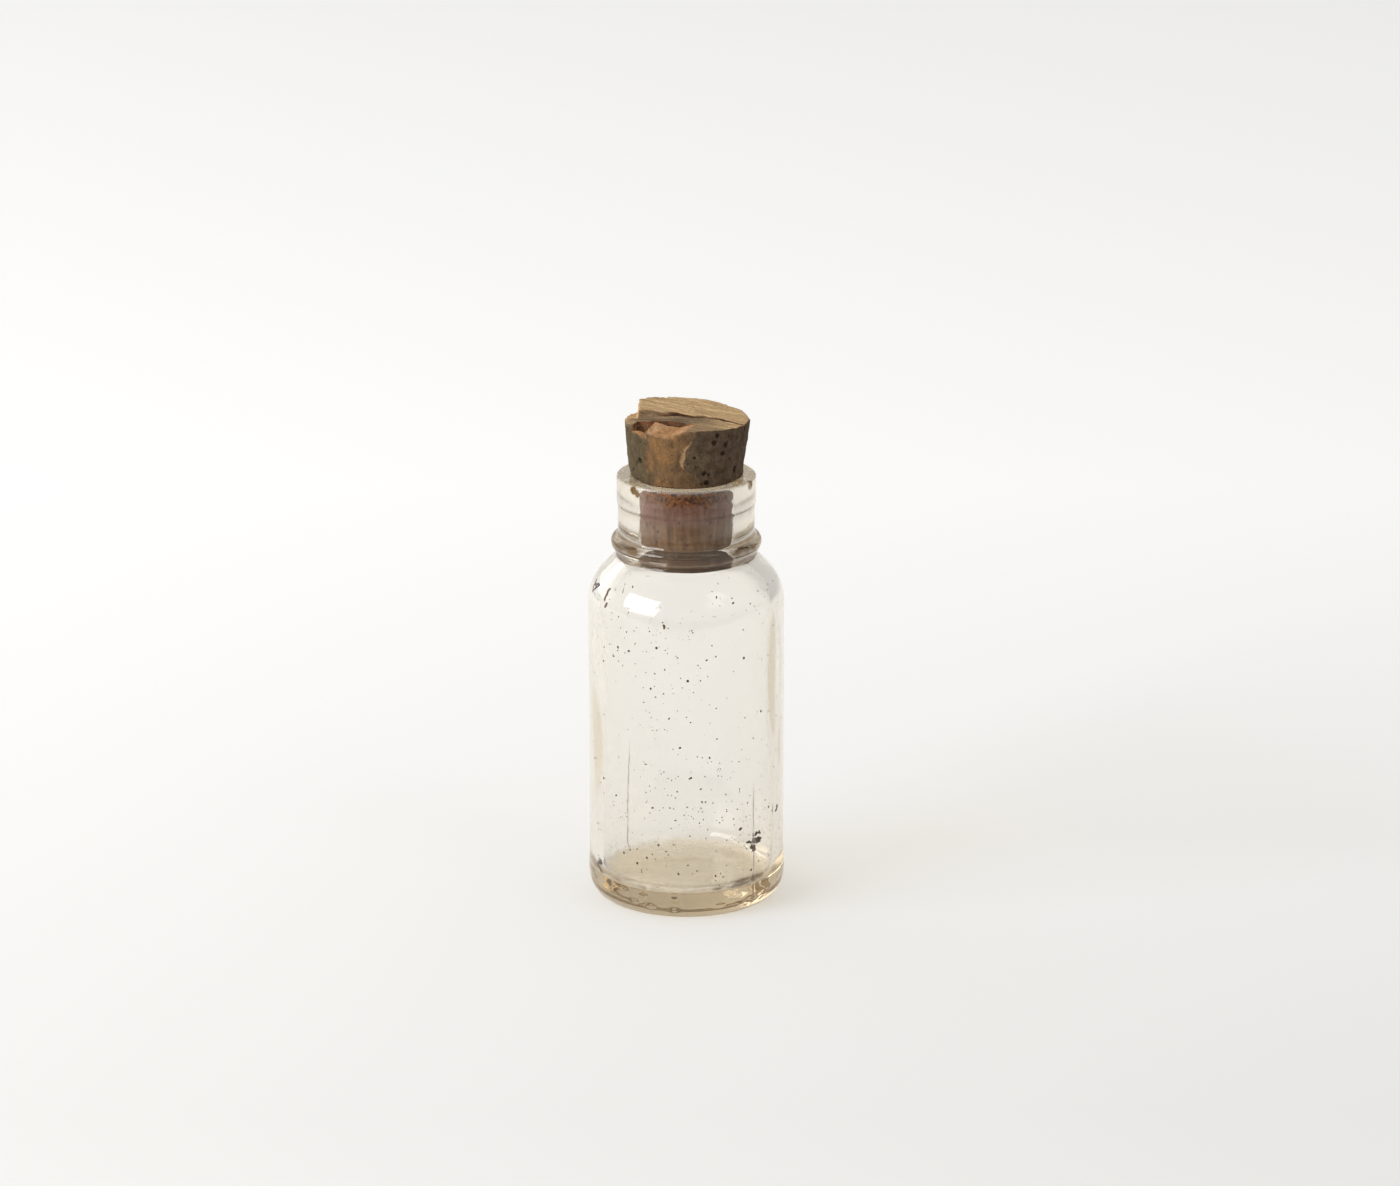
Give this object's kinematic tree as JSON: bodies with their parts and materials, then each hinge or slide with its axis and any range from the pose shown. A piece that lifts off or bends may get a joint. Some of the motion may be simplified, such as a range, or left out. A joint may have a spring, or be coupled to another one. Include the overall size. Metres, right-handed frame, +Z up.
{
  "type": "corked glass bottle",
  "caption": "Small clear glass bottle with a beaded neck and a stepped lip, closed by a weathered tapered cork that slides out; residue and crumbs inside.",
  "frame": {"origin": "centre of the foot, on the surface that the bottle stands on", "axes": "+Z up along the bottle's axis, front towards -Y, +X to the viewer's right"},
  "size_m": [0.033, 0.033, 0.0846],
  "materials": {
    "clear_glass": "blown soda-lime glass, faint warm tint, slightly wavy",
    "aged_cork": "old cork, dull, brown-grey with tan cut top",
    "dried_deposit": "thin dried film, matt beige-brown",
    "dark_crumb": "matt dark brown crumbs"
  },
  "bodies": {
    "bottle": {"glass_bottle": "clear_glass", "dried_residue": "dried_deposit", "crumb_left_shoulder": "dark_crumb", "crumb_left_shoulder_sliver": "dark_crumb", "crumb_upper_front": "dark_crumb", "crumb_right_wall": "dark_crumb", "crumb_right_front": "dark_crumb", "crumb_right_heel_upper": "dark_crumb", "crumb_right_heel_lower": "dark_crumb", "crumb_left_heel": "dark_crumb"},
    "stopper": {"cork_stopper": "aged_cork"}
  },
  "joints": [
    {"name": "cork_pull", "type": "slide", "parent": "bottle", "child": "stopper", "axis": [0, 0, 1], "range_m": [0, 0.028]}
  ]
}
